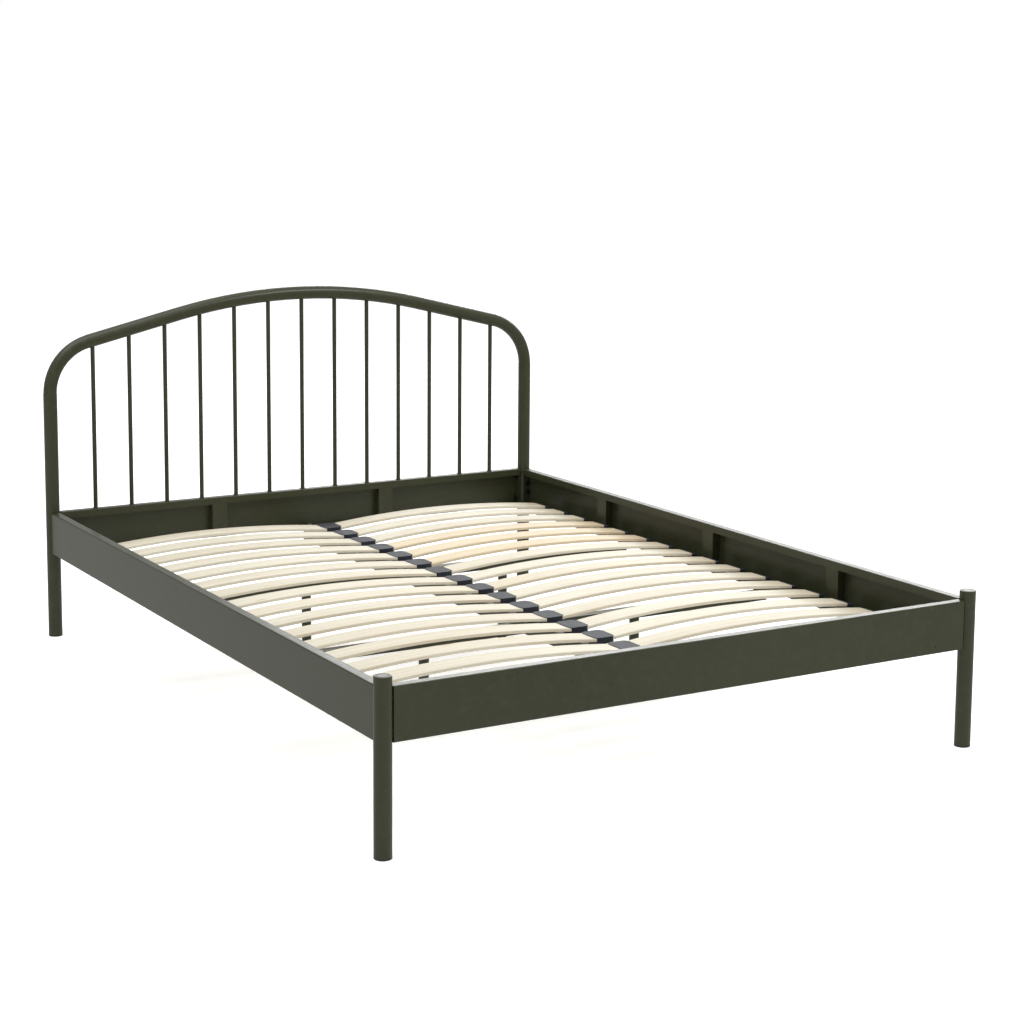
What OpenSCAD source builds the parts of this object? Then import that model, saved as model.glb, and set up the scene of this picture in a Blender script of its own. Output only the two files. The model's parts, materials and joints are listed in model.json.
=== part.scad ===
// Double metal bed frame with an arched tube headboard, folded steel rails and two rows of sprung slats.
// +X runs across the bed, +Y towards the headboard, +Z up. The origin is on the floor, below the centre.

/* [Mattress] */
// Width of the mattress that the rails hold
mattress_w = 1500; // [1480:10:1600]
// Length of the mattress that the rails hold
mattress_l = 2000; // [1900:10:2100]
// Play between the mattress and the rails, in all
mattress_play = 2; // [0:1:10]

/* [Posts and hoop] */
// Outside diameter of the posts and of the headboard hoop
tube_d = 38.2; // [34:0.1:42]
// Wall of the posts and of the hoop
tube_wall = 1.5; // [1:0.1:3]
// Height of the foot posts with their caps
foot_post_h = 375.5; // [370:0.5:420]
// Height of the hoop at its crown
hoop_h = 957; // [850:1:1100]
// Centre-line radius of the crown's arc
crown_r = 1631; // [1500:1:2200]
// Fall of the straight slopes beside the crown, in degrees
slope_a = 13.6; // [8:0.1:16]
// Centre-line radius of the shoulder bends
shoulder_r = 146; // [80:0.5:180]
// How much thinner the tube is in the shoulder bends, on the radius
bend_thin = 0.6; // [0.3:0.1:1]
// How much thinner the tube is along the crown, on the radius
crown_thin = 0.1; // [0.1:0.1:0.4]
// Thickness of the post cap above the tube
cap_t = 3; // [2:0.5:6]
// Thickness of the floor glide below the tube
glide_t = 4; // [3:0.5:8]

/* [Spindles] */
// Number of upright spindles in the headboard
spindle_n = 13; // [13:1:13]
// Diameter of a spindle
spindle_d = 12; // [8:0.5:16]
// Distance between spindle centres
spindle_pitch = 106.7; // [90:0.1:108]

/* [Rails] */
// Height of the rails' lower edge above the floor
rail_z = 237.5; // [232:0.5:242]
// Height of a rail
rail_h = 116; // [100:1:120]
// Thickness of the folded sheet
sheet_t = 2; // [1.5:0.1:2.5]
// Width of the rails' top flange
flange_w = 25; // [22:1:30]
// Height of the lip that turns down from the top flange
lip_h = 20; // [12:1:24]
// Outside radius of the folds
fold_r = 3; // [2.5:0.1:4]
// How far a rail's outer face stands outside the post axes
rail_proud = 11; // [9:0.5:12]
// Width of the side rails' bottom flange, which carries the slat holders
ledge_w = 68; // [60:1:80]
// Width of a stiffener
stiffener_w = 46; // [30:1:60]
// Distance of the outer side stiffeners from the middle of the bed
side_stiffener_y = 537; // [450:1:600]
// Distance of the head and foot stiffeners from the middle of the bed
end_stiffener_x = 270; // [200:1:400]
// Thickness of the plates that close the rails' ends
end_plate_t = 3; // [2:0.5:4]

/* [Slats] */
// Number of slat rows
row_n = 16; // [16:1:16]
// Distance between slat rows
row_pitch = 111; // [110:0.5:112]
// Width of a slat
slat_w = 63; // [50:1:70]
// Thickness of a slat
slat_t = 8; // [6:0.5:8.5]
// Rise of a slat's underside from its ends to its middle
slat_rise = 21; // [10:0.5:30]
// Height of a slat's underside at its ends
slat_z = 262.5; // [260:0.5:263]
// Distance of a slat's inner end from the middle of the bed
slat_in = 10; // [9:0.5:14]
// Distance of a slat's outer end from a side rail's outer face
slat_back = 60.5; // [58:0.5:66]

/* [Centre support] */
// Width of the centre beam
beam_w = 60; // [50:1:70]
// Height of the centre beam and of the crossbars
beam_h = 25; // [25:1:28]
// Wall of the beam, the crossbars and the support legs
beam_wall = 1.5; // [1.2:0.1:2]
// Position of the crossbar nearer the head
crossbar_head_y = 345; // [340:1:348]
// Position of the crossbar nearer the foot
crossbar_foot_y = -315; // [-320:1:-310]
// Distance of the support legs from the middle of the bed
leg_x = 300; // [250:1:400]
// Diameter of a support leg
leg_d = 25; // [22:0.5:30]
// Thickness of a support leg's foot
leg_foot_t = 6; // [4:0.5:10]

/* [Fasteners] */
// Diameter of the corner and crossbar bolts
bolt_d = 8; // [6:1:8]
// Diameter of the beam screws
screw_d = 6; // [5:1:6]
// Play around a bolt or a screw in its hole, on the diameter
hole_play = 0.6; // [0.4:0.1:1]

/* [Hidden] */
$fn = 48;
steel = [0.235, 0.24, 0.19];
birch = [0.91, 0.86, 0.74];
moulding = [0.13, 0.14, 0.16];
zinc = [0.62, 0.62, 0.6];
blackened = [0.08, 0.08, 0.08];
eps = 0.01;

// Plan of the frame
post_x = (mattress_w + mattress_play) / 2 + flange_w - rail_proud;
post_y = (mattress_l + mattress_play) / 2 + flange_w - rail_proud;
tube_r = tube_d / 2;
bore_r = tube_r - tube_wall;
outer_x = post_x + rail_proud;
outer_y = post_y + rail_proud;
end_gap = 0.4;
rail_end_x = post_x - tube_r - end_gap;
rail_end_y = post_y - tube_r - end_gap;
rail_top = rail_z + rail_h;
ledge_z = rail_z + sheet_t;

// Headboard hoop, as centre lines
crown_z = hoop_h - tube_r + crown_thin - crown_r;
shoulder_x = post_x - shoulder_r;
slope_start = [crown_r * sin(slope_a), crown_z + crown_r * cos(slope_a)];
bend_lap = 1.5;
slope_end_x = shoulder_x + shoulder_r * sin(slope_a);
slope_len = (slope_end_x - slope_start[0]) / cos(slope_a);
shoulder_z = slope_start[1] - slope_len * sin(slope_a) - shoulder_r * cos(slope_a);

// Slats
row_y0 = row_pitch * (row_n - 1) / 2;
slat_out = outer_x - slat_back;
slat_mid = (slat_in + slat_out) / 2;
slat_half = (slat_out - slat_in) / 2;
slat_r = (slat_half * slat_half + slat_rise * slat_rise) / (2 * slat_rise);
slat_cz = slat_z + slat_rise - slat_r;

// Slat holders
cap_x = 28;
cap_y = slat_w / 2 + 3;
cap_low = 258.5;
cap_top = 274;
cap_corner = 14;
cap_stem = [26, 36];
cap_foot = [48, 40];
cap_foot_t = 3;
cap_pin_r = 4.5;
pocket_play = 0.2;
saddle_in = 33;
saddle_stop = 18.5;
saddle_w = 58;
saddle_foot_w = 40;
saddle_foot_z = 251;
saddle_stop_z = slat_z + 4.5;
saddle_lip = 4;
pin_back = 8;
pin_drop = 5;

// Fasteners
bolt_r = bolt_d / 2;
bolt_hole_r = (bolt_d + hole_play) / 2;
bolt_head_r = 0.8125 * bolt_d;
bolt_head_h = bolt_d;
bolt_len = 22;
bolt_socket_r = 3.3;
insert_r = 5.5;
insert_len = 11;
nut_r = 0.9 * bolt_d;
nut_h = 6.5;
washer_r = 8;
washer_t = 1.6;
screw_r = screw_d / 2;
screw_hole_r = (screw_d + hole_play) / 2;
screw_head_r = 5.5;
screw_head_h = 3;
screw_len = 9;
screw_socket_r = 2.4;
crossbar_bolt_len = 18;
crossbar_bolt_head_h = 5.2;
tab_t = 3;
tab_l = 12;
tab_hole = 5.7;
screw_x = 20;
crossbar_x = outer_x - ledge_w - 2;
crossbar_tab_x = outer_x - 31;
crossbar_bolt_x = outer_x - 48;
end_bolts_x = [24.5, 90.5];
end_bolts_y = [44.5, 70.5];
beam_z = ledge_z - beam_h;
beam_end_y = outer_y - flange_w - 56;
half_bar = beam_h / 2;
rail_tab = 70.5;
bed_crossbars = [crossbar_foot_y, crossbar_head_y];
tab_lap = 25;
weld_nut_h = 8;
stud_len = 14;
leg_plug = 10;
leg_foot_rim = 2.5;
leg_foot_plug = 12;
plug_play = 0.15;
cap_plug = 12;
glide_plug = 14;

function row_y(row) = row_y0 - row * row_pitch;
function spindle_x(i) = (i - (spindle_n - 1) / 2) * spindle_pitch;
function two(i) = i < 10 ? str("0", i) : str(i);

// ---- Shapes used by several parts ----

// Rectangle with its low corner at the origin and rounded corners
module rounded_box(w, h, r) {
    translate([r, 0]) square([w - 2 * r, h]);
    translate([0, r]) square([w, h - 2 * r]);
    for (x = [r, w - r], y = [r, h - r]) {
        translate([x, y]) circle(r);
    }
}

// A profile in X and Z, run along Y
module along_y(length) {
    translate([0, length / 2, 0]) rotate([90, 0, 0]) linear_extrude(length) children();
}

// A copy on each side of the bed
module both_sides() {
    children();
    mirror([1, 0, 0]) children();
}

// A copy at each end of the bed
module both_ends() {
    children();
    mirror([0, 1, 0]) children();
}

module ring(r_out, r_in, h) {
    difference() {
        cylinder(r = r_out, h = h);
        translate([0, 0, -1]) cylinder(r = r_in, h = h + 2);
    }
}

module hex(r, h) {
    cylinder(r = r, h = h, $fn = 6);
}

// ---- Posts, hoop and spindles ----

// Holes for the inserts that take the bolts of the two rails at one corner, in the first quadrant
module insert_holes() {
    for (z = end_bolts_x) {
        translate([post_x, post_y, rail_z + z]) rotate([0, -90, 0]) cylinder(r = insert_r, h = tube_r + 5);
    }
    for (z = end_bolts_y) {
        translate([post_x, post_y, rail_z + z]) rotate([90, 0, 0]) cylinder(r = insert_r, h = tube_r + 5);
    }
}

// Profile of a tube, or of a rod where the bore is 0
module tube_profile(r, bore) {
    difference() {
        circle(r);
        if (bore > 0) circle(bore);
    }
}

module bent_tube(radius, angle, r, bore) {
    rotate_extrude(angle = angle, $fn = 180) translate([radius, 0]) tube_profile(r, bore);
}

// The hoop's centre line from the crown to a foot as five lengths of tube, in the head plane
module hoop_tube(r, bore, foot_z) {
    translate([0, post_y, 0]) {
        translate([0, 0, crown_z]) rotate([90, 0, 0]) rotate([0, 0, 90 - slope_a])
            bent_tube(crown_r, 2 * slope_a, r - crown_thin, max(0, bore - crown_thin));
        both_sides() {
            translate([slope_start[0], 0, slope_start[1]]) rotate([0, 90 + slope_a, 0])
                translate([0, 0, -bend_lap]) linear_extrude(slope_len + 2 * bend_lap) tube_profile(r, bore);
            translate([shoulder_x, 0, shoulder_z]) rotate([90, 0, 0])
                bent_tube(shoulder_r, 90 - slope_a, r - bend_thin, max(0, bore - bend_thin));
            translate([post_x, 0, foot_z])
                linear_extrude(shoulder_z + bend_lap - foot_z) tube_profile(r, bore);
        }
    }
}

module headboard_hoop() {
    color(steel) difference() {
        hoop_tube(tube_r, bore_r, glide_t);
        both_sides() insert_holes();
    }
}

// Height of the hoop's centre line at x
function hoop_z(x) = abs(x) < slope_start[0]
    ? crown_z + sqrt(crown_r * crown_r - x * x)
    : slope_start[1] - (abs(x) - slope_start[0]) * tan(slope_a);

module spindle(i) {
    x = spindle_x(i);
    color(steel) difference() {
        translate([x, post_y, rail_top]) cylinder(r = spindle_d / 2, h = hoop_z(x) - rail_top - tube_r / 2);
        hoop_tube(tube_r, 0, glide_t);
    }
}

// Foot post, on the +X side
module foot_post() {
    color(steel) difference() {
        translate([post_x, -post_y, glide_t]) cylinder(r = tube_r, h = foot_post_h - cap_t - glide_t);
        translate([post_x, -post_y, 0]) cylinder(r = bore_r, h = foot_post_h);
        mirror([0, 1, 0]) insert_holes();
    }
}

// Disc with a rounded rim and a plug that fits the tube
module tube_end(t, plug) {
    rim = 1.5;
    cylinder(r = tube_r - rim, h = t);
    cylinder(r = tube_r, h = t - rim);
    translate([0, 0, t - rim]) rotate_extrude() translate([tube_r - rim, 0]) intersection() {
        circle(rim);
        square(rim);
    }
    translate([0, 0, -plug]) cylinder(r = bore_r - plug_play, h = plug + eps);
}

module post_caps() {
    color(steel) both_sides() translate([post_x, -post_y, foot_post_h - cap_t]) tube_end(cap_t, cap_plug);
}

module floor_glides() {
    color(moulding) both_sides() both_ends()
        translate([post_x, post_y, glide_t]) mirror([0, 0, 1]) tube_end(glide_t, glide_plug);
}

// ---- Rails ----

// Folded profile with its outer face on X = 0 and its lower edge on Y = 0
module rail_profile(bottom_w) {
    difference() {
        union() {
            rounded_box(flange_w, rail_h, fold_r);
            translate([fold_r, 0]) square([bottom_w - fold_r, sheet_t]);
        }
        translate([sheet_t, sheet_t])
            rounded_box(flange_w - 2 * sheet_t, rail_h - 2 * sheet_t, fold_r - sheet_t);
        translate([flange_w / 2, sheet_t]) square([flange_w, rail_h - sheet_t - lip_h]);
        translate([bottom_w, -1]) square([flange_w, sheet_t + 1]);
    }
}

// A rail with its outer face on the plane X = 0, run along Y and opening towards +X
module rail(length, bottom_w) {
    translate([0, 0, rail_z]) along_y(length) rail_profile(bottom_w);
}

// Places something made for a rail at the head of the bed
module at_head() {
    translate([0, outer_y, 0]) rotate([0, 0, -90]) children();
}

// Places something made for a rail on the left of the bed
module at_left() {
    translate([-outer_x, 0, 0]) children();
}

// Head rail, with holes for the screws of the centre beam
module head_rail() {
    color(steel) difference() {
        at_head() rail(2 * rail_end_x, flange_w);
        for (x = [-screw_x, screw_x]) {
            translate([x, beam_end_y + rail_tab - tab_hole, rail_z - 1])
                cylinder(r = screw_hole_r, h = sheet_t + 2);
        }
    }
}

module foot_rail() {
    mirror([0, 1, 0]) head_rail();
}

module side_rail() {
    color(steel) at_left() difference() {
        rail(2 * rail_end_y, ledge_w);
        for (y = bed_crossbars) {
            translate([outer_x - crossbar_bolt_x, y, rail_z - 1]) cylinder(r = bolt_hole_r, h = sheet_t + 2);
        }
        for (row = [0:row_n - 1]) {
            translate([slat_back - pin_back, row_y(row), rail_z - 1])
                cylinder(r = cap_pin_r + pocket_play, h = sheet_t + 2);
        }
    }
}

// Plate that closes a rail's end, for a rail on the plane X = 0 that ends at Y = 0, with two bolt holes
module end_plate(bolts) {
    inset = 0.2;
    chamfer = 2;
    difference() {
        translate([sheet_t, -end_plate_t, rail_z + sheet_t])
            cube([flange_w - 2 * sheet_t - inset, end_plate_t, rail_h - 2 * sheet_t]);
        for (x = [sheet_t, flange_w - sheet_t - inset]) {
            translate([x, -end_plate_t / 2, rail_top - sheet_t]) rotate([0, 45, 0])
                cube([chamfer, end_plate_t + 2, chamfer], center = true);
        }
        translate([sheet_t, -end_plate_t / 2, rail_z + sheet_t]) rotate([0, 45, 0])
            cube([chamfer, end_plate_t + 2, chamfer], center = true);
        for (z = bolts) {
            translate([rail_proud, 1, rail_z + z]) rotate([90, 0, 0])
                cylinder(r = bolt_hole_r, h = end_plate_t + 2);
        }
    }
}

module rail_end_plates() {
    color(steel) both_sides() both_ends() {
        at_left() translate([0, rail_end_y, 0]) end_plate(end_bolts_y);
        at_head() mirror([0, 1, 0]) translate([0, rail_end_x, 0]) end_plate(end_bolts_x);
    }
}

// Folded channel standing on the bottom flange, its open side on the web of a rail on X = 0
module stiffener() {
    depth = flange_w - sheet_t;
    height = rail_h - sheet_t - lip_h;
    translate([sheet_t, -stiffener_w / 2, ledge_z]) difference() {
        cube([depth, stiffener_w, height]);
        translate([-1, sheet_t, -1]) cube([depth + 1 - sheet_t, stiffener_w - 2 * sheet_t, height + 2]);
    }
}

module head_stiffeners() {
    color(steel) at_head() {
        for (y = [-end_stiffener_x, end_stiffener_x]) {
            translate([0, y, 0]) stiffener();
        }
    }
}

module foot_stiffeners() {
    mirror([0, 1, 0]) head_stiffeners();
}

module side_stiffeners() {
    color(steel) both_sides() at_left() {
        for (y = [-side_stiffener_y, 0, side_stiffener_y]) {
            translate([0, y, 0]) stiffener();
        }
    }
}

// ---- Corner fasteners ----

// Bolt along +Y through an end plate at Y = 0, its head on the near side, and the insert that it screws into
module corner_bolt() {
    rotate([-90, 0, 0]) {
        translate([0, 0, -end_plate_t]) cylinder(r = bolt_r, h = bolt_len);
        translate([0, 0, -end_plate_t - bolt_head_h]) difference() {
            cylinder(r = bolt_head_r, h = bolt_head_h);
            translate([0, 0, -1]) hex(bolt_socket_r, bolt_head_h / 2 + 1);
        }
    }
}

module post_insert() {
    rotate([-90, 0, 0]) {
        translate([0, 0, end_gap + 0.1]) ring(insert_r - 0.05, bolt_r + 0.05, insert_len);
    }
}

// A copy of a fastener for each bolt of all eight rail ends
module at_rail_ends() {
    both_sides() both_ends() {
        for (z = end_bolts_y) {
            translate([-post_x, rail_end_y, rail_z + z]) children();
        }
        for (z = end_bolts_x) {
            translate([rail_end_x, post_y, rail_z + z]) rotate([0, 0, -90]) children();
        }
    }
}

module corner_bolts() {
    color(blackened) at_rail_ends() corner_bolt();
}

module post_inserts() {
    color(zinc) at_rail_ends() post_insert();
}

// ---- Centre support ----

// Rectangular tube along Y from y0 to y1, w wide, its top on the level of the ledges
module beam_tube(w, y0, y1) {
    translate([-w / 2, y0, beam_z]) difference() {
        cube([w, y1 - y0, beam_h]);
        translate([beam_wall, -1, beam_wall]) cube([w - 2 * beam_wall, y1 - y0 + 2, beam_h - 2 * beam_wall]);
    }
}

// End plate of the beam at y, with a tab that rests on the next crossbar or rail on side s
module beam_end(y, s, reach) {
    translate([-beam_w / 2, min(y, y - s * tab_t), beam_z]) cube([beam_w, tab_t, beam_h + tab_t]);
    translate([-beam_w / 2, min(y, y + s * reach), ledge_z]) cube([beam_w, reach, tab_t]);
}

// Section of the centre beam from y0 to y1, with holes for the screws and for the pins of the slat caps
module beam_section(y0, y1, reach0, reach1) {
    color(steel) difference() {
        union() {
            beam_tube(beam_w, y0 + tab_t, y1 - tab_t);
            beam_end(y0, -1, reach0);
            beam_end(y1, 1, reach1);
        }
        for (x = [-screw_x, screw_x], y = [y0 - reach0 + tab_hole, y1 + reach1 - tab_hole]) {
            translate([x, y, ledge_z - 1]) cylinder(r = screw_hole_r, h = tab_t + 2);
        }
        for (row = [0:row_n - 1]) {
            if (row_y(row) > y0 + cap_pin_r && row_y(row) < y1 - cap_pin_r)
                translate([0, row_y(row), ledge_z - beam_wall - 1])
                    cylinder(r = cap_pin_r + pocket_play, h = beam_wall + 2);
        }
    }
}

module centre_beam_head() {
    beam_section(crossbar_head_y + half_bar, beam_end_y, tab_l, rail_tab);
}

module centre_beam_middle() {
    beam_section(crossbar_foot_y + half_bar, crossbar_head_y - half_bar, tab_l, tab_l);
}

module centre_beam_foot() {
    beam_section(-beam_end_y, crossbar_foot_y - half_bar, rail_tab, tab_l);
}

module beam_screw() {
    translate([0, 0, tab_t]) difference() {
        cylinder(r = screw_head_r, h = screw_head_h);
        translate([0, 0, screw_head_h / 2]) hex(screw_socket_r, screw_head_h);
    }
    translate([0, 0, tab_t - screw_len]) cylinder(r = screw_r, h = screw_len + eps);
}

module at_screws() {
    on_rail = beam_end_y + rail_tab - tab_hole;
    on_bar = half_bar - tab_l + tab_hole;
    for (y = [-on_rail, for (bar = bed_crossbars) each [bar - on_bar, bar + on_bar], on_rail]) {
        for (x = [-screw_x, screw_x]) {
            translate([x, y, ledge_z]) children();
        }
    }
}

module beam_screws() {
    color(zinc) at_screws() beam_screw();
}

// Crossbar at y: a square tube that hangs between the side rails' ledges on two bolted tabs
module crossbar(y) {
    color(steel) translate([0, y, 0]) difference() {
        union() {
            rotate([0, 0, -90]) beam_tube(beam_h, -crossbar_x, crossbar_x);
            both_sides() {
                translate([crossbar_x - tab_lap, -half_bar, ledge_z])
                    cube([crossbar_tab_x - crossbar_x + tab_lap, beam_h, tab_t]);
                translate([leg_x, 0, beam_z + beam_wall]) cylinder(r = nut_r, h = weld_nut_h);
            }
        }
        for (s = [-1, 1]) {
            translate([s * leg_x, 0, beam_z - 1]) cylinder(r = bolt_hole_r, h = beam_h - 3);
            translate([s * crossbar_bolt_x, 0, ledge_z - 1]) cylinder(r = bolt_hole_r, h = tab_t + 2);
            for (x = [-screw_x, screw_x]) {
                translate([x, s * (half_bar - tab_l + tab_hole), ledge_z - beam_wall - 1])
                    cylinder(r = screw_hole_r, h = beam_wall + 2);
            }
        }
    }
}

module crossbar_head() {
    crossbar(crossbar_head_y);
}

module crossbar_foot() {
    crossbar(crossbar_foot_y);
}

module at_crossbar_bolts() {
    both_sides() {
        for (y = bed_crossbars) {
            translate([crossbar_bolt_x, y, 0]) children();
        }
    }
}

module crossbar_bolts() {
    color(zinc) at_crossbar_bolts() {
        translate([0, 0, ledge_z + tab_t]) hex(nut_r, crossbar_bolt_head_h);
        translate([0, 0, ledge_z + tab_t - crossbar_bolt_len])
            cylinder(r = bolt_r, h = crossbar_bolt_len + eps);
    }
}

module crossbar_nuts() {
    color(zinc) at_crossbar_bolts() {
        translate([0, 0, rail_z - washer_t]) ring(washer_r, bolt_r + 0.1, washer_t);
        translate([0, 0, rail_z - washer_t - nut_h]) difference() {
            hex(nut_r, nut_h + eps);
            translate([0, 0, -1]) cylinder(r = bolt_r + 0.1, h = nut_h + 2);
        }
    }
}

// Support leg: a tube with a plug and a stud that screws into the crossbar
module support_leg(i) {
    x = i % 2 == 0 ? leg_x : -leg_x;
    y = bed_crossbars[i > 2 ? 1 : 0];
    color(steel) translate([x, y, 0]) {
        translate([0, 0, leg_foot_t]) ring(leg_d / 2, leg_d / 2 - beam_wall, beam_z - leg_foot_t);
        translate([0, 0, beam_z - leg_plug]) cylinder(r = leg_d / 2 - beam_wall + eps, h = leg_plug);
        translate([0, 0, beam_z - eps]) cylinder(r = bolt_r, h = stud_len);
    }
}

module leg_feet() {
    color(moulding) both_sides() {
        for (y = bed_crossbars) {
            translate([leg_x, y, 0]) {
                cylinder(r = leg_d / 2 + leg_foot_rim, h = leg_foot_t);
                cylinder(r = leg_d / 2 - beam_wall - plug_play, h = leg_foot_t + leg_foot_plug);
            }
        }
    }
}

// ---- Slats and their holders ----

// Side view of a slat on the +X side, grown by a margin all round
module slat_side(margin) {
    intersection() {
        difference() {
            translate([slat_mid, slat_cz]) circle(slat_r + slat_t + margin, $fn = 720);
            translate([slat_mid, slat_cz]) circle(slat_r - margin, $fn = 720);
        }
        translate([slat_in - margin, slat_z - 5])
            square([slat_out - slat_in + 2 * margin, slat_rise + slat_t + 10]);
    }
}

module slat_row(row) {
    color(birch) both_sides() translate([0, row_y(row), 0]) along_y(slat_w) slat_side(0);
}

// Double cap on the centre beam, with a pocket for the slat on each side
module centre_cap() {
    difference() {
        translate([-cap_x, -cap_y, cap_low]) linear_extrude(cap_top - cap_low)
            rounded_box(2 * cap_x, 2 * cap_y, cap_corner);
        both_sides() along_y(slat_w + 2 * pocket_play) slat_side(pocket_play);
    }
    translate([-cap_stem[0] / 2, -cap_stem[1] / 2, ledge_z])
        cube([cap_stem[0], cap_stem[1], cap_low - ledge_z]);
    translate([-cap_foot[0] / 2, -cap_foot[1] / 2, ledge_z]) cube([cap_foot[0], cap_foot[1], cap_foot_t]);
    translate([0, 0, ledge_z - pin_drop]) cylinder(r = cap_pin_r, h = pin_drop + 1);
}

module centre_caps() {
    color(moulding) {
        for (row = [0:row_n - 1]) {
            translate([0, row_y(row), 0]) centre_cap();
        }
    }
}

// Moulded saddle on the ledge, on the +X side: a tray under the slat's end with a stop behind it
module slat_holder() {
    foot_in = outer_x - ledge_w + 1;
    difference() {
        translate([slat_out - saddle_in, -saddle_w / 2, saddle_foot_z])
            cube([saddle_in + saddle_stop, saddle_w, saddle_stop_z - saddle_foot_z]);
        along_y(saddle_w + 2) slat_side(0.1);
        translate([slat_out - saddle_in - 1, -saddle_w / 2 - 1, slat_z])
            cube([saddle_in - saddle_lip, saddle_w + 2, slat_rise]);
    }
    translate([foot_in, -saddle_foot_w / 2, ledge_z])
        cube([slat_out + saddle_stop - foot_in, saddle_foot_w, saddle_foot_z - ledge_z]);
    translate([slat_out + pin_back, 0, ledge_z - pin_drop]) cylinder(r = cap_pin_r, h = pin_drop + 1);
}

module slat_holders() {
    color(moulding) {
        for (row = [0:row_n - 1]) {
            translate([0, row_y(row), 0]) slat_holder();
        }
    }
}

headboard_hoop();
head_rail();
foot_rail();
side_rail();  // side_rail_left
mirror([1, 0, 0]) side_rail();  // side_rail_right
mirror([1, 0, 0]) foot_post();  // foot_post_left
foot_post();  // foot_post_right
post_caps();
floor_glides();
head_stiffeners();
foot_stiffeners();
side_stiffeners();
rail_end_plates();
corner_bolts();
post_inserts();
centre_beam_head();
centre_beam_middle();
centre_beam_foot();
beam_screws();
crossbar_head();
crossbar_foot();
crossbar_bolts();
crossbar_nuts();
leg_feet();
centre_caps();
mirror([1, 0, 0]) slat_holders();  // slat_holders_left
slat_holders();  // slat_holders_right
for (i = [1:4]) {
    support_leg(i);
}
for (i = [1:spindle_n]) {
    spindle(i - 1);
}
for (i = [1:row_n]) {
    slat_row(i - 1);
}
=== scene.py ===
# A double bed frame: powder-coated steel, sprung birch slats and moulded slat caps.
# Metres throughout, +Z up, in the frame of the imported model.
import json
import math
import random

import bmesh
import bpy
from mathutils import Matrix, Vector, noise


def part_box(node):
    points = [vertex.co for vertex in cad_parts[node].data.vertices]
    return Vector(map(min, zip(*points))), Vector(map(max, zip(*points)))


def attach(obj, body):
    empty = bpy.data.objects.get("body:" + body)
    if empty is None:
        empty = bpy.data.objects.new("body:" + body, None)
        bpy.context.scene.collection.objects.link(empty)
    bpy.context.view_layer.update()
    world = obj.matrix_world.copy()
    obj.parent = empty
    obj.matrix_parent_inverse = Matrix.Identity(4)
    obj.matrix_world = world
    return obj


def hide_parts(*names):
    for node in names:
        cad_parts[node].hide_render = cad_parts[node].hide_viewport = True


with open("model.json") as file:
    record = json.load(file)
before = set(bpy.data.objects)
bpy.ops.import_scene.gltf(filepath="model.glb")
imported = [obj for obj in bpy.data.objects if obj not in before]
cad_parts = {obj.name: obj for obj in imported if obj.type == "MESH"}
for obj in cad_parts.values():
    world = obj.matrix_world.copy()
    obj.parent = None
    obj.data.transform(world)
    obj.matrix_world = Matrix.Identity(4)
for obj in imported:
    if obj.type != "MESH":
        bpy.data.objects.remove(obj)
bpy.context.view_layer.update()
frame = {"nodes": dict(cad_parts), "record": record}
nodes = frame["nodes"]
slotOf = {part["node"]: part["material_slot"] for part in frame["record"]["subparts"]}
print("frame:", len(nodes), "nodes")


class Wire:
    # One output of a shader node, which takes part in Python sums
    def __init__(self, tree, socket=None):
        self.tree = tree
        self.socket = socket

    def make(self, kind, settings=None, sockets=None, output=0):
        node = self.tree.nodes.new("ShaderNode" + kind)
        for name, value in (settings or {}).items():
            setattr(node, name, value)
        for name, value in (sockets or {}).items():
            self.plug(node.inputs[name], value)
        return Wire(self.tree, node.outputs[output])

    def plug(self, socket, value):
        if isinstance(value, Wire):
            self.tree.links.new(value.socket, socket)
        elif isinstance(value, tuple) and len(value) == 3 and socket.type == "RGBA":
            socket.default_value = (*value, 1)
        else:
            socket.default_value = value

    def maths(self, operation, first, second):
        return self.make("Math", {"operation": operation}, {0: first, 1: second})

    def __add__(self, other):
        return self.maths("ADD", self, other)

    def __sub__(self, other):
        return self.maths("SUBTRACT", self, other)

    def __rsub__(self, other):
        return self.maths("SUBTRACT", other, self)

    def __mul__(self, other):
        return self.maths("MULTIPLY", self, other)

    __radd__ = __add__
    __rmul__ = __mul__

    def between(self, low, high):
        # 0 below low, 1 above high and smooth in between
        return self.make("MapRange", {"interpolation_type": "SMOOTHSTEP"},
                         {"Value": self, "From Min": low, "From Max": high})

    def blend(self, first, second):
        # From the first colour to the second as this value goes from 0 to 1
        return self.make("Mix", {"data_type": "RGBA"}, {0: self, 6: first, 7: second}, 2)

    def stretched(self, scale):
        return self.make("Mapping", {}, {"Vector": self, "Scale": scale})

    def noise(self, scale, detail, rough=0.5):
        sockets = {"Vector": self, "Scale": scale, "Detail": detail, "Roughness": rough}
        return self.make("TexNoise", {}, sockets)


def newMaterial(name):
    material = bpy.data.materials.new(name)
    material.use_nodes = True
    tree = material.node_tree
    start = Wire(tree)
    place = start.make("TexCoord", {}, {}, "Object")
    return material, start, place, tree.nodes["Principled BSDF"]


def bump(start, height, distance, under=None):
    sockets = {"Height": height, "Distance": distance}
    if under:
        sockets["Normal"] = under
    return start.make("Bump", {}, sockets)


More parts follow.
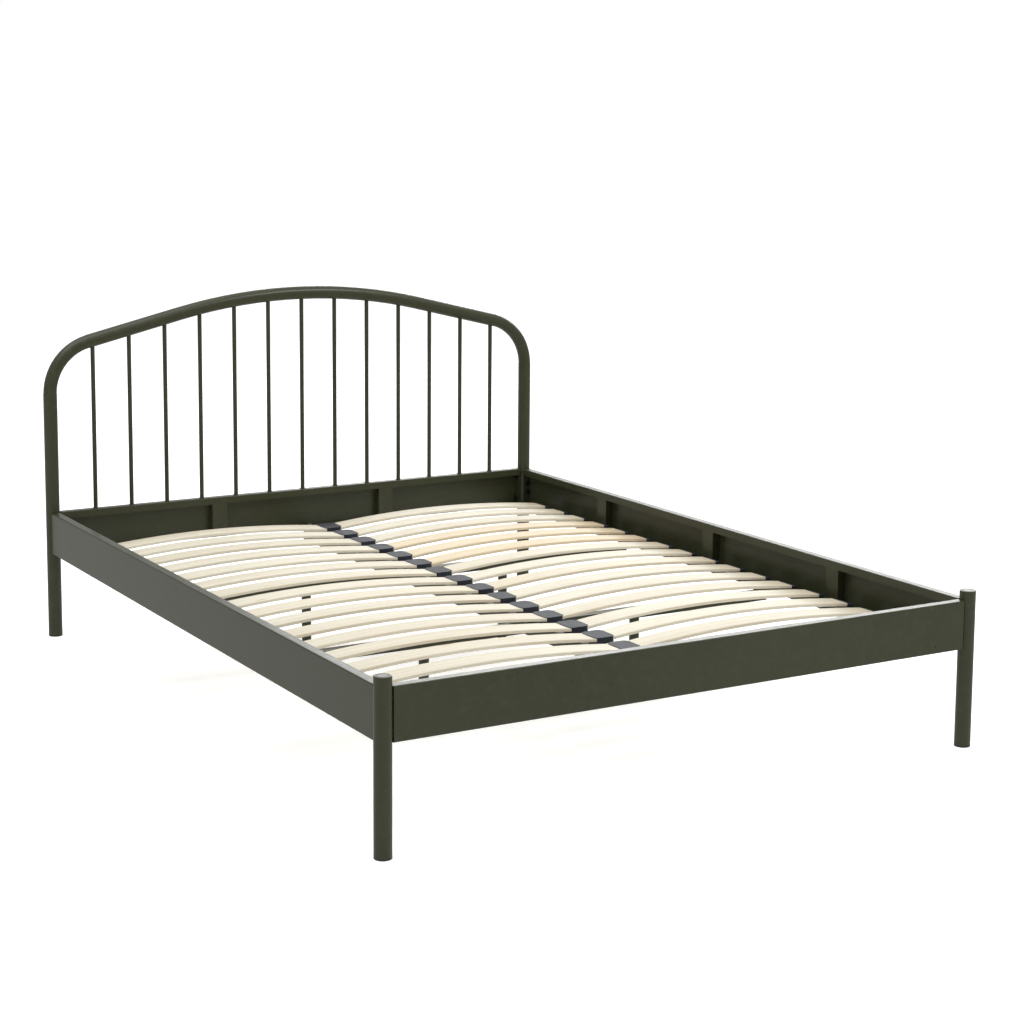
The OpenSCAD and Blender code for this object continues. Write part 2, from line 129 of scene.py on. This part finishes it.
def powderCoat():
    coat = {
        "olive": (0.0325, 0.0350, 0.0165), "shade": (0.0280, 0.0302, 0.0138), "bloom": (0.041, 0.044, 0.023),
        "cloudScale": 3.5, "filmScale": 60, "film": 0.5, "speckScale": 1500, "speck": 0.35,
        "peelScale": 420, "peelDepth": 0.00004, "gritScale": 2600, "gritDepth": 0.00001,
        "rough": 0.31, "uneven": 0.10, "ior": 1.38,
    }
    material, start, place, shader = newMaterial("powderCoat")
    cloud = place.noise(coat["cloudScale"], 4)
    film = place.noise(coat["filmScale"], 3)
    speck = place.noise(coat["speckScale"], 1)
    colour = cloud.between(0.3, 0.7).blend(coat["shade"], coat["olive"])
    colour = (film.between(0.45, 0.8) * coat["film"]).blend(colour, coat["bloom"])
    colour = (speck.between(0.62, 0.72) * coat["speck"]).blend(colour, coat["bloom"])
    rough = coat["rough"] + (cloud - 0.5) * coat["uneven"] + (film - 0.5) * coat["uneven"]
    peel = bump(start, place.noise(coat["peelScale"], 1), coat["peelDepth"])
    grit = bump(start, place.noise(coat["gritScale"], 1), coat["gritDepth"], peel)
    start.plug(shader.inputs["Base Color"], colour)
    start.plug(shader.inputs["Roughness"], rough)
    start.plug(shader.inputs["Normal"], grit)
    shader.inputs["IOR"].default_value = coat["ior"]
    return material


def birch():
    wood = {
        "pale": (0.56, 0.517, 0.405), "cream": (0.605, 0.573, 0.465), "warm": (0.60, 0.482, 0.305),
        "grain": (0.44, 0.33, 0.205), "knot": (0.34, 0.20, 0.10), "glue": (0.34, 0.23, 0.14),
        "warmth": 0.75, "rings": 0.20, "streaks": 0.30, "fibres": 0.14, "knots": 0.7, "glueLine": 0.42,
        # The rail shade values set how much painted shade darkens the slat ends near the side rails, and over
        # what span
        "crossPly": 0.14, "railShade": 0.30, "railShadeFrom": 0.60, "railShadeTo": 0.72, "plies": 5,
        "rough": 0.50, "uneven": 0.2, "ior": 1.36, "fibreDepth": 0.00008, "streakDepth": 0.0002,
    }
    material, start, place, shader = newMaterial("birch")
    # Each slat is cut from another part of the log, by its own "plank" value
    plank = start.make("Attribute", {"attribute_name": "plank"}, {}, "Fac")
    shift = start.make("CombineXYZ", {}, {"X": plank * 7.3, "Y": plank * 3.1, "Z": plank * 5.7})
    log = start.make("VectorMath", {"operation": "ADD"}, {0: place, 1: shift})
    tone = log.stretched((1.2, 9, 9)).noise(1, 2)
    streak = log.stretched((5, 190, 190)).noise(1, 5, 0.6)
    fibre = log.stretched((40, 1400, 1400)).noise(1, 2)
    ring = start.make("TexWave", {"wave_type": "BANDS", "bands_direction": "Y"},
                      {"Vector": log.stretched((0.9, 14, 14)), "Scale": 1.1, "Distortion": 5.0,
                       "Detail": 2.0, "Detail Scale": 1.4})
    colour = tone.between(0.35, 0.65).blend(wood["pale"], wood["cream"])
    colour = (plank.between(0.62, 1.0) * wood["warmth"]).blend(colour, wood["warm"])
    colour = (ring.between(0.55, 1.0) * wood["rings"]).blend(colour, wood["grain"])
    colour = (streak.between(0.52, 0.75) * wood["streaks"]).blend(colour, wood["grain"])
    colour = (fibre.between(0.5, 0.8) * wood["fibres"]).blend(colour, wood["grain"])
    # Small knots, in about one cell of ten
    cells = {"Vector": log.stretched((6, 22, 22)), "Scale": 1.0}
    away = start.make("TexVoronoi", {"feature": "F1"}, cells)
    pick = start.make("TexVoronoi", {"feature": "F1"}, cells, "Color")
    chosen = start.make("SeparateColor", {}, {"Color": pick}).between(0.90, 0.92)
    knot = chosen * (1 - away.between(0.05, 0.16))
    colour = (knot * wood["knots"]).blend(colour, wood["knot"])
    # Veneers and their glue lines, by the "depth" through the slat, between its two faces
    depth = start.make("Attribute", {"attribute_name": "depth"}, {}, "Fac")
    inside = depth.between(0.04, 0.10) * (1 - depth.between(0.90, 0.97))
    layer = start.make("Math", {"operation": "FRACT"}, {0: depth * wood["plies"]})
    line = layer.between(0.80, 0.92) * inside
    colour = (line * wood["glueLine"]).blend(colour, wood["glue"])
    ply = start.make("Math", {"operation": "PINGPONG"}, {0: depth * wood["plies"], 1: 1.0})
    colour = (ply.between(0.3, 0.7) * inside * wood["crossPly"]).blend(colour, wood["grain"])
    # Painted shade: the outer tips are darkened towards the side rails, where the rails shade them
    across = start.make("SeparateXYZ", {}, {"Vector": place})
    railShadeMask = start.make("Math", {"operation": "ABSOLUTE"}, {0: across}).between(wood["railShadeFrom"], wood["railShadeTo"])
    colour = (railShadeMask * wood["railShade"]).blend(colour, wood["grain"])
    rough = wood["rough"] + (streak - 0.5) * wood["uneven"] + line * wood["uneven"]
    pores = bump(start, fibre, wood["fibreDepth"])
    start.plug(shader.inputs["Base Color"], colour)
    start.plug(shader.inputs["Roughness"], rough)
    start.plug(shader.inputs["Normal"], bump(start, streak, wood["streakDepth"], pores))
    shader.inputs["IOR"].default_value = wood["ior"]
    return material


def moulding():
    resin = {
        "navy": (0.015, 0.018, 0.025), "worn": (0.026, 0.030, 0.038), "cloudScale": 25, "grainScale": 900,
        "rough": 0.54, "uneven": 0.15, "mottle": 0.1, "ior": 1.33, "grainDepth": 0.00012,
    }
    material, start, place, shader = newMaterial("moulding")
    cloud = place.noise(resin["cloudScale"], 3)
    grain = place.noise(resin["grainScale"], 2)
    start.plug(shader.inputs["Base Color"], cloud.between(0.4, 0.75).blend(resin["navy"], resin["worn"]))
    rough = resin["rough"] + (cloud - 0.5) * resin["uneven"] + (grain - 0.5) * resin["mottle"]
    start.plug(shader.inputs["Roughness"], rough)
    start.plug(shader.inputs["Normal"], bump(start, grain, resin["grainDepth"]))
    shader.inputs["IOR"].default_value = resin["ior"]
    return material


def glide():
    rubber = {
        "black": (0.012, 0.012, 0.012), "scuffed": (0.035, 0.034, 0.032), "scuffScale": 140,
        "rough": 0.62, "uneven": 0.3, "grainScale": 700, "grainDepth": 0.0001,
    }
    material, start, place, shader = newMaterial("glide")
    scuff = place.stretched((1, 1, 6)).noise(rubber["scuffScale"], 4)
    grain = place.noise(rubber["grainScale"], 2)
    start.plug(shader.inputs["Base Color"], scuff.between(0.5, 0.8).blend(rubber["black"], rubber["scuffed"]))
    start.plug(shader.inputs["Roughness"], rubber["rough"] + (scuff - 0.5) * rubber["uneven"])
    start.plug(shader.inputs["Normal"], bump(start, grain, rubber["grainDepth"]))
    return material


def blackenedSteel():
    oxide = {
        "black": (0.016, 0.016, 0.017), "worn": (0.05, 0.05, 0.05), "wearScale": 350,
        "rough": 0.38, "uneven": 0.3, "metal": 0.6, "depth": 0.00004,
    }
    material, start, place, shader = newMaterial("blackenedSteel")
    wear = place.noise(oxide["wearScale"], 3)
    start.plug(shader.inputs["Base Color"], wear.between(0.55, 0.8).blend(oxide["black"], oxide["worn"]))
    start.plug(shader.inputs["Roughness"], oxide["rough"] + (wear - 0.5) * oxide["uneven"])
    start.plug(shader.inputs["Normal"], bump(start, wear, oxide["depth"]))
    shader.inputs["Metallic"].default_value = oxide["metal"]
    return material


def zinc():
    plate = {
        "clear": (0.56, 0.57, 0.58), "yellow": (0.60, 0.53, 0.36), "tint": 0.5, "stainScale": 90,
        "scratchScale": 2500, "scratchDepth": 0.00003, "rough": 0.33, "uneven": 0.2, "mottle": 0.1,
        "metal": 1.0,
    }
    material, start, place, shader = newMaterial("zinc")
    stain = place.noise(plate["stainScale"], 3)
    scratch = place.stretched((1, 1, 0.1)).noise(plate["scratchScale"], 2)
    tint = stain.between(0.45, 0.75) * plate["tint"]
    start.plug(shader.inputs["Base Color"], tint.blend(plate["clear"], plate["yellow"]))
    rough = plate["rough"] + (stain - 0.5) * plate["uneven"] + (scratch - 0.5) * plate["mottle"]
    start.plug(shader.inputs["Roughness"], rough)
    start.plug(shader.inputs["Normal"], bump(start, scratch, plate["scratchDepth"]))
    shader.inputs["Metallic"].default_value = plate["metal"]
    return material


finishes = {
    "powder_coat": powderCoat(), "birch": birch(), "moulding": moulding(), "glide": glide(),
    "zinc": zinc(), "blackened_steel": blackenedSteel(),
}
for name, part in nodes.items():
    for materialSlot in part.material_slots:
        materialSlot.material = finishes[slotOf[name]]
print("finishes:", ", ".join(finishes))


def finishPiece(name, bm, slotName, replaced=(), sharpAngle=35):
    mesh = bpy.data.meshes.new(name)
    bm.to_mesh(mesh)
    bm.free()
    mesh.shade_smooth()
    mesh.set_sharp_from_angle(angle=math.radians(sharpAngle))
    piece = bpy.data.objects.new(name, mesh)
    bpy.context.scene.collection.objects.link(piece)
    mesh.materials.append(finishes[slotName])
    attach(piece, "root")
    if replaced:
        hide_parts(*replaced)
    return piece


def softened(name, node, slotName, width, segments):
    # A copy of a CAD node with its sharp edges rounded
    bm = bmesh.new()
    bm.from_mesh(nodes[node].data)
    bmesh.ops.remove_doubles(bm, verts=bm.verts, dist=1e-6)
    bmesh.ops.dissolve_limit(bm, angle_limit=math.radians(1), verts=bm.verts, edges=bm.edges)
    bmesh.ops.recalc_face_normals(bm, faces=bm.faces)
    piece = finishPiece(name, bm, slotName, [node])
    rounding = piece.modifiers.new("rounding", "BEVEL")
    rounding.width = width
    rounding.segments = segments
    rounding.limit_method = "ANGLE"
    rounding.angle_limit = math.radians(30)
    rounding.harden_normals = True


def turned(bm, outline, centre, steps):
    # Turns an outline, of verts and edges, round an upright axis through the centre
    bmesh.ops.spin(bm, geom=outline, cent=centre, axis=(0, 0, 1), dvec=(0, 0, 0), angle=math.tau,
                   steps=steps, use_merge=True, use_normal_flip=False, use_duplicate=False)


def closed(bm):
    bmesh.ops.remove_doubles(bm, verts=bm.verts, dist=1e-6)
    bmesh.ops.recalc_face_normals(bm, faces=bm.faces)


def makeSlats():
    slat = {
        "thickness": 0.008, "innerEnd": 0.010, "endPlay": 0.0006, "rounding": 0.0024, "roundingSteps": 4,
        "steps": 26, "seed": 11, "commonTones": 0.75, "warmTone": 0.95, "warmRows": ("04", "05", "06"),
    }
    rng = random.Random(slat["seed"])
    rows = sorted(name for name in nodes if name.startswith("slat_row_"))
    thick = slat["thickness"]
    for row in rows:
        low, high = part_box(row)
        number = row.split("_")[-1]
        # The bow is an arc through both ends and the middle of the slat's underside
        half = (high.x - slat["innerEnd"]) / 2 - slat["endPlay"]
        rise = high.z - low.z - thick
        radius = (half * half + rise * rise) / (2 * rise)
        centre = Vector(((high.x + slat["innerEnd"]) / 2, (low.y + high.y) / 2, low.z + rise - radius))
        reach = math.asin(half / radius)
        pair = bmesh.new()
        plank = pair.verts.layers.float.new("plank")
        depth = pair.verts.layers.float.new("depth")
        for side in (1, -1):
            before = set(pair.verts)
            # The slat's section, rounded along its edges, is swung along the bow
            section = bmesh.ops.create_grid(pair, x_segments=1, y_segments=1, size=0.5)["verts"]
            bmesh.ops.scale(pair, vec=(thick, high.y - low.y, 1), verts=section)
            bmesh.ops.bevel(pair, geom=section, offset=slat["rounding"], affect="VERTICES",
                            segments=slat["roundingSteps"], profile=0.5, material=-1)
            rim = [v for v in pair.verts if v not in before]
            bmesh.ops.rotate(pair, cent=(0, 0, 0), matrix=Matrix.Rotation(math.pi / 2, 3, "Y"), verts=rim)
            bmesh.ops.translate(pair, vec=centre + Vector((0, 0, radius + thick / 2)), verts=rim)
            bmesh.ops.rotate(pair, cent=centre, matrix=Matrix.Rotation(-reach, 3, "Y"), verts=rim)
            edges = {e for v in rim for e in v.link_edges}
            faces = {f for v in rim for f in v.link_faces}
            bmesh.ops.spin(pair, geom=rim + list(edges) + list(faces), cent=centre, axis=(0, 1, 0),
                           dvec=(0, 0, 0), angle=2 * reach, steps=slat["steps"],
                           use_merge=False, use_normal_flip=False, use_duplicate=False)
            made = [v for v in pair.verts if v not in before]
            tone = rng.random() * slat["commonTones"]
            if side > 0 and number in slat["warmRows"]:
                tone = slat["warmTone"]
            for v in made:
                outward = Vector((v.co.x - centre.x, 0, v.co.z - centre.z))
                v[plank] = tone
                v[depth] = (outward.length - radius) / thick
            if side < 0:
                bmesh.ops.scale(pair, vec=(-1, 1, 1), verts=made)
        bmesh.ops.recalc_face_normals(pair, faces=pair.faces)
        finishPiece("slatPair" + number, pair, "birch", [row], sharpAngle=50)
    print("slats:", len(rows), "rows")


def makePostCaps():
    cap = {
        "plug": 0.012, "wall": 0.0015, "fit": 0.00015, "rim": 0.0016, "dome": 0.0006, "groove": 0.0007,
        "grooveInside": 0.66, "grooveOutside": 0.69, "grooveSlope": 0.04, "steps": 64,
    }
    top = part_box("post_caps")[1].z
    low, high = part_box("foot_post_right")
    seat = high.z
    radius = (high.x - low.x) / 2
    inner = radius - cap["wall"] - cap["fit"]
    rim, dome, groove = cap["rim"], cap["dome"], top - cap["groove"]
    caps = bmesh.new()
    for side in (1, -1):
        centre = Vector((side * (low.x + high.x) / 2, (low.y + high.y) / 2, 0))
        # Half section, from the middle of the top to the middle of the plug's foot
        outline = [
            (0, top), (radius * (cap["grooveInside"] - cap["grooveSlope"]), top - dome * 0.4),
            (radius * cap["grooveInside"], groove), (radius * cap["grooveOutside"], groove),
            (radius * (cap["grooveOutside"] + cap["grooveSlope"]), top - dome * 0.5),
            (radius - rim, top - dome * 0.7), (radius - rim * 0.35, top - rim * 0.55),
            (radius, top - rim * 1.3), (radius, seat), (inner, seat), (inner, seat - cap["plug"]),
            (0, seat - cap["plug"]),
        ]
        verts = [caps.verts.new(centre + Vector((x, 0, z))) for x, z in outline]
        edges = [caps.edges.new(pair) for pair in zip(verts, verts[1:])]
        turned(caps, verts + edges, centre, cap["steps"])
    closed(caps)
    finishPiece("postCaps", caps, "powder_coat", ["post_caps"], sharpAngle=28)
    print("post caps: 2")


def makeSpindleWelds():
    bead = {"width": 0.0016, "sides": 8, "sink": 0.0004, "steps": 28, "uneven": 0.00035, "lumpScale": 400}
    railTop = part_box("head_rail")[1].z
    spindles = sorted(name for name in nodes if name.startswith("spindle_"))
    welds = bmesh.new()
    for name in spindles:
        low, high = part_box(name)
        radius = (high.x - low.x) / 2
        centre = Vector(((low.x + high.x) / 2, (low.y + high.y) / 2, railTop))
        before = set(welds.verts)
        ring = bmesh.ops.create_circle(welds, cap_ends=False, segments=bead["sides"],
                                       radius=bead["width"])["verts"]
        bmesh.ops.rotate(welds, cent=(0, 0, 0), matrix=Matrix.Rotation(math.pi / 2, 3, "X"), verts=ring)
        bmesh.ops.translate(welds, vec=centre + Vector((radius + bead["sink"], 0, bead["sink"])), verts=ring)
        edges = list({e for v in ring for e in v.link_edges})
        turned(welds, ring + edges, centre, bead["steps"])
        for v in welds.verts:
            if v not in before:
                v.co.z += bead["uneven"] * noise.noise(v.co * bead["lumpScale"])
    closed(welds)
    finishPiece("spindleWelds", welds, "powder_coat", sharpAngle=80)
    print("welds:", len(spindles))


makeSlats()
makePostCaps()
makeSpindleWelds()
softened("centreCaps", "centre_caps", "moulding", 0.0009, 3)
softened("holdersLeft", "slat_holders_left", "moulding", 0.0008, 2)
softened("holdersRight", "slat_holders_right", "moulding", 0.0008, 2)
softened("legFeet", "leg_feet", "glide", 0.001, 3)
print("mouldings: rounded")


def makeStage():
    studio = {
        "floor": (0.86, 0.86, 0.86), "patches": (0.88, 0.88, 0.88), "size": 300, "glow": 0.40,
        "rough": 0.9, "horizon": 0.46, "zenith": 1.0, "ground": 0.74,
    }
    bm = bmesh.new()
    bmesh.ops.create_grid(bm, x_segments=1, y_segments=1, size=studio["size"] / 2)
    mesh = bpy.data.meshes.new("studioFloor")
    bm.to_mesh(mesh)
    bm.free()
    floor = bpy.data.objects.new("studioFloor", mesh)
    bpy.context.scene.collection.objects.link(floor)
    paint, start, place, shader = newMaterial("studioFloor")
    start.plug(shader.inputs["Base Color"], place.noise(2, 2).blend(studio["floor"], studio["patches"]))
    shader.inputs["Roughness"].default_value = studio["rough"]
    shader.inputs["Emission Color"].default_value = (1, 1, 1, 1)
    shader.inputs["Emission Strength"].default_value = studio["glow"]
    mesh.materials.append(paint)
    floor.visible_glossy = False
    # A soft sky that is brighter overhead and, in reflections, below, against a white backdrop
    world = bpy.data.worlds.new("studioSky")
    world.use_nodes = True
    sky = Wire(world.node_tree)
    height = sky.make("SeparateXYZ", {}, {"Vector": sky.make("TexCoord", {}, {}, "Generated")}, "Z")
    above = height.between(0.0, 0.9) * (studio["zenith"] - studio["horizon"])
    below = (height * -1).between(0.0, 0.25) * (studio["ground"] - studio["horizon"])
    glow = studio["horizon"] + above + below
    seen = sky.make("LightPath", {}, {}, "Is Camera Ray")
    backdrop = world.node_tree.nodes["Background"]
    backdrop.inputs["Color"].default_value = (1, 1, 1, 1)
    sky.plug(backdrop.inputs["Strength"], glow * (1 - seen) + seen)
    bpy.context.scene.world = world


def addLamp(name, place, target, size, power, mirrored=True):
    light = bpy.data.lights.new(name, "AREA")
    light.shape = "RECTANGLE"
    light.size, light.size_y = size
    light.energy = power
    lamp = bpy.data.objects.new(name, light)
    lamp.location = place
    lamp.rotation_euler = (Vector(target) - Vector(place)).to_track_quat("-Z", "Y").to_euler()
    lamp.visible_camera = False
    lamp.visible_glossy = mirrored
    bpy.context.scene.collection.objects.link(lamp)


def addCamera():
    view = {
        "place": (-2.593, -4.615, 1.493), "turn": (81.978, -0.407, -30.426), "lens": 74.0,
        "sensor": 36, "shift": -0.1094, "reach": 100,
    }
    lens = bpy.data.cameras.new("viewCamera")
    lens.lens = view["lens"]
    lens.sensor_width = view["sensor"]
    lens.shift_y = view["shift"]
    lens.clip_end = view["reach"]
    camera = bpy.data.objects.new("viewCamera", lens)
    camera.location = view["place"]
    camera.rotation_euler = [math.radians(angle) for angle in view["turn"]]
    bpy.context.scene.collection.objects.link(camera)
    bpy.context.scene.camera = camera


makeStage()
addLamp("topLight", (-1.2, 0.4, 3.6), (0, 0, 0.3), (3.0, 3.0), 57)
addLamp("fillLight", (2.6, -4.6, 1.6), (0, 0, 0.3), (2.5, 2.0), 48, mirrored=False)
addLamp("frontLight", (1.35, -0.9, 3.15), (0.2, 1.0, 0.9), (1.3, 0.5), 28)
addLamp("backLight", (4.7, 5.2, 2.7), (0, -0.6, 0.4), (5.6, 1.1), 150)
addCamera()
bpy.context.scene.view_settings.view_transform = "Standard"
print("studio: ready")
